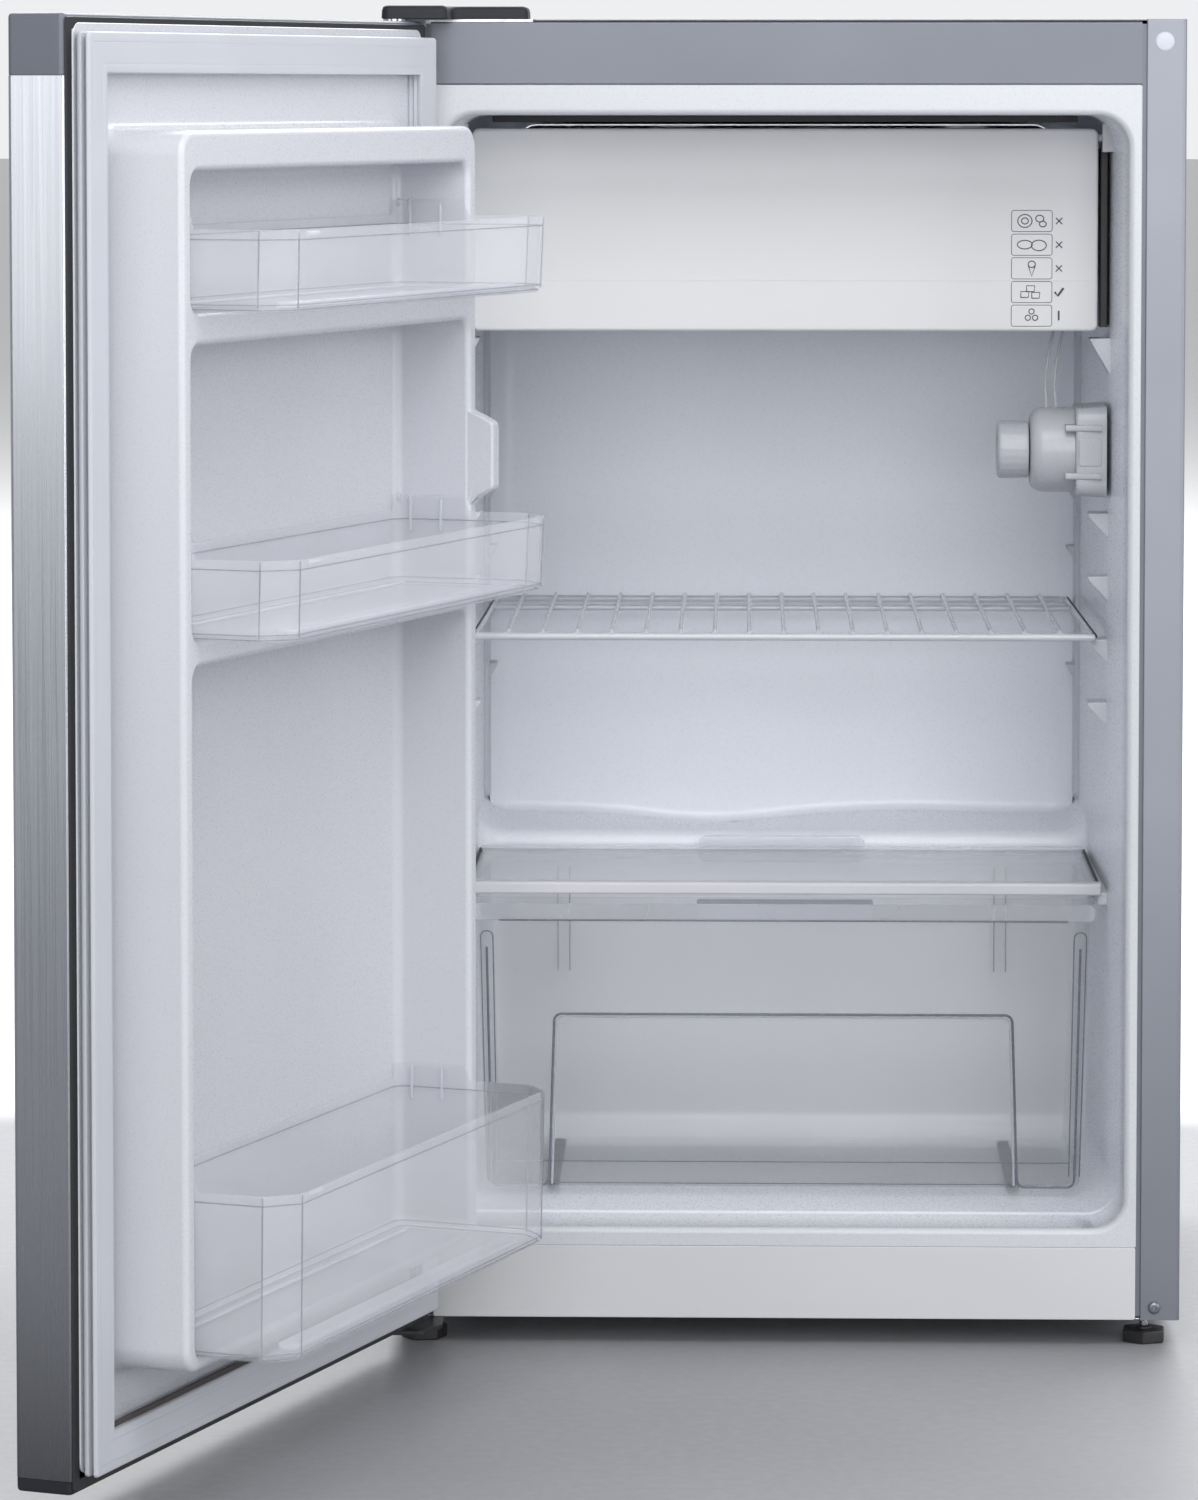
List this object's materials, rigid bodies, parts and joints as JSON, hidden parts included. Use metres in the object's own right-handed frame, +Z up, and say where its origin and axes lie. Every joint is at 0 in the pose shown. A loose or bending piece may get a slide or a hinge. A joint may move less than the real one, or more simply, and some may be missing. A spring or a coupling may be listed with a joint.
{
  "type": "mini fridge",
  "caption": "Under-counter single-door fridge with a freezer box, wire shelf, crisper drawer and door bins; the steel door hinges open.",
  "frame": {"origin": "on the floor under the centre of the cabinet's body", "axes": "+Z up, +Y towards the fridge's back, +X to the right seen from the front; the door is open at rest"},
  "size_m": [0.6753, 0.9866, 0.846],
  "materials": {
    "painted_steel": "satin",
    "galvanised_steel": "satin",
    "brushed_steel": "satin",
    "black_steel": "satin",
    "bright_steel": "polished",
    "aluminium": "satin",
    "copper": "satin",
    "liner_plastic": "gloss",
    "white_plastic": "satin",
    "dark_plastic": "satin",
    "black_plastic": "satin",
    "clear_plastic": "gloss",
    "safety_glass": "gloss",
    "coated_wire": "gloss",
    "capillary_sleeve": "matte",
    "gasket_rubber": "matte",
    "black_rubber": "matte",
    "magnet": "matte",
    "foam": "matte"
  },
  "bodies": {
    "cabinet": {"side_panel_left": "painted_steel", "side_panel_right": "painted_steel", "top_panel": "painted_steel", "front_top_rail": "painted_steel", "back_panel": "galvanised_steel", "bottom_pan": "galvanised_steel", "kick_plate": "white_plastic", "compressor_bulkhead": "galvanised_steel", "cabinet_foam": "foam", "liner": "liner_plastic", "flange_screws": "bright_steel", "hole_plugs": "white_plastic", "top_hinge_mount": "galvanised_steel", "top_hinge_plate": "galvanised_steel", "top_hinge_pin": "bright_steel", "top_hinge_cover": "dark_plastic", "lower_hinge_bracket": "black_steel", "lower_hinge_pin": "bright_steel", "hinge_washers": "bright_steel", "evaporator": "aluminium", "evaporator_hangers": "white_plastic", "flap_brackets": "white_plastic", "thermostat_housing": "white_plastic", "thermostat_switch": "galvanised_steel", "capillary_tubes": "capillary_sleeve", "drain_tube": "black_plastic", "compressor_base": "galvanised_steel", "rear_feet": "black_plastic", "compressor_shell": "black_steel", "compressor_grommets": "black_rubber", "relay_cover": "black_plastic", "suction_line": "copper", "discharge_line": "copper", "filter_drier": "copper", "condenser": "black_steel", "condenser_brackets": "black_plastic", "evaporation_tray": "black_plastic", "cord_gland": "black_rubber"},
    "door": {"door_skin": "brushed_steel", "door_top_cap": "dark_plastic", "door_bottom_cap": "dark_plastic", "door_foam": "foam", "door_liner": "liner_plastic", "door_gasket": "gasket_rubber", "gasket_magnets": "magnet", "door_bushes": "white_plastic"},
    "freezer_flap": {"freezer_flap": "white_plastic"},
    "crisper": {"crisper_drawer": "clear_plastic"},
    "wire_shelf": {"wire_shelf": "coated_wire"},
    "glass_shelf": {"crisper_glass": "safety_glass", "crisper_glass_trim": "white_plastic"},
    "dial": {"thermostat_dial": "white_plastic"},
    "upper_bin": {"upper_bin": "clear_plastic"},
    "middle_bin": {"middle_bin": "clear_plastic"},
    "lower_bin": {"lower_bin": "clear_plastic"},
    "left_foot": {"foot_stud_left": "bright_steel", "foot_pad_left": "black_plastic"},
    "right_foot": {"foot_stud_right": "bright_steel", "foot_pad_right": "black_plastic"}
  },
  "joints": [
    {"name": "door_hinge", "type": "hinge", "parent": "cabinet", "child": "door", "pos_m": [-0.243, -0.266, 0.43], "axis": [0, 0, -1], "range_deg": [-110, 10]},
    {"name": "flap_hinge", "type": "hinge", "parent": "cabinet", "child": "freezer_flap", "pos_m": [0, -0.129, 0.763], "axis": [-1, 0, 0], "range_deg": [0, 85]},
    {"name": "crisper_slide", "type": "slide", "parent": "cabinet", "child": "crisper", "axis": [0, -1, 0], "range_m": [0, 0.15]},
    {"name": "wire_shelf_slide", "type": "slide", "parent": "cabinet", "child": "wire_shelf", "axis": [0, -1, 0], "range_m": [0, 0.15]},
    {"name": "glass_shelf_slide", "type": "slide", "parent": "cabinet", "child": "glass_shelf", "axis": [0, -1, 0], "range_m": [0, 0.15]},
    {"name": "thermostat_turn", "type": "hinge", "parent": "cabinet", "child": "dial", "pos_m": [0.148, -0.103, 0.561], "axis": [-1, 0, 0], "range_deg": [0, 270]},
    {"name": "upper_bin_lift", "type": "slide", "parent": "door", "child": "upper_bin", "axis": [0, 0, 1], "range_m": [0, 0.015]},
    {"name": "middle_bin_lift", "type": "slide", "parent": "door", "child": "middle_bin", "axis": [0, 0, 1], "range_m": [0, 0.02]},
    {"name": "lower_bin_lift", "type": "slide", "parent": "door", "child": "lower_bin", "axis": [0, 0, 1], "range_m": [0, 0.02]},
    {"name": "left_foot_screw", "type": "hinge", "parent": "cabinet", "child": "left_foot", "pos_m": [-0.229, -0.21, 0.006], "axis": [0, 0, 1], "continuous": true},
    {"name": "right_foot_screw", "type": "hinge", "parent": "cabinet", "child": "right_foot", "pos_m": [0.229, -0.21, 0.006], "axis": [0, 0, 1], "continuous": true}
  ]
}
